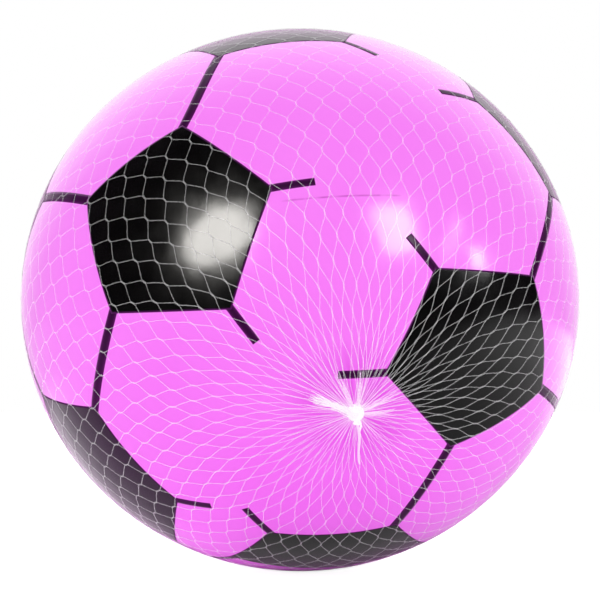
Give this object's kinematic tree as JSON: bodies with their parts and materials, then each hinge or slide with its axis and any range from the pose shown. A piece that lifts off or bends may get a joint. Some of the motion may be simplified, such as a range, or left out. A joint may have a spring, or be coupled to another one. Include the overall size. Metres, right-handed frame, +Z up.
{
  "type": "inflatable play ball in a net",
  "caption": "Round inflatable vinyl play ball with a football print and a push-in valve plug, packed in a knitted net that is gathered and tied at both ends.",
  "frame": {"origin": "middle of the ball", "axes": "+Z up and along the ball's slightly shorter height, -Y towards the front that the picture shows, +X to its right"},
  "size_m": [0.2233, 0.2229, 0.2166],
  "materials": {
    "ball_vinyl": "smooth glossy pink vinyl, slightly see-through at the rim",
    "print_ink": "glossy black screen-printed ink film",
    "valve_vinyl": "soft satin pale pink vinyl",
    "plug_plastic": "satin milky white moulded plastic",
    "net_thread": "white see-through knitted monofilament thread",
    "tie_thread": "white twisted thread"
  },
  "bodies": {
    "ball": {"ball_shell": "ball_vinyl", "valve_seat": "valve_vinyl", "net_sleeve": "net_thread", "front_tie": "tie_thread", "rear_tie": "tie_thread"},
    "plug": {"valve_plug": "plug_plastic"}
  },
  "joints": [
    {"name": "plug_pull", "type": "slide", "parent": "ball", "child": "plug", "axis": [0.8989, 0.4002, 0.1784], "range_m": [0, 0.01]}
  ]
}
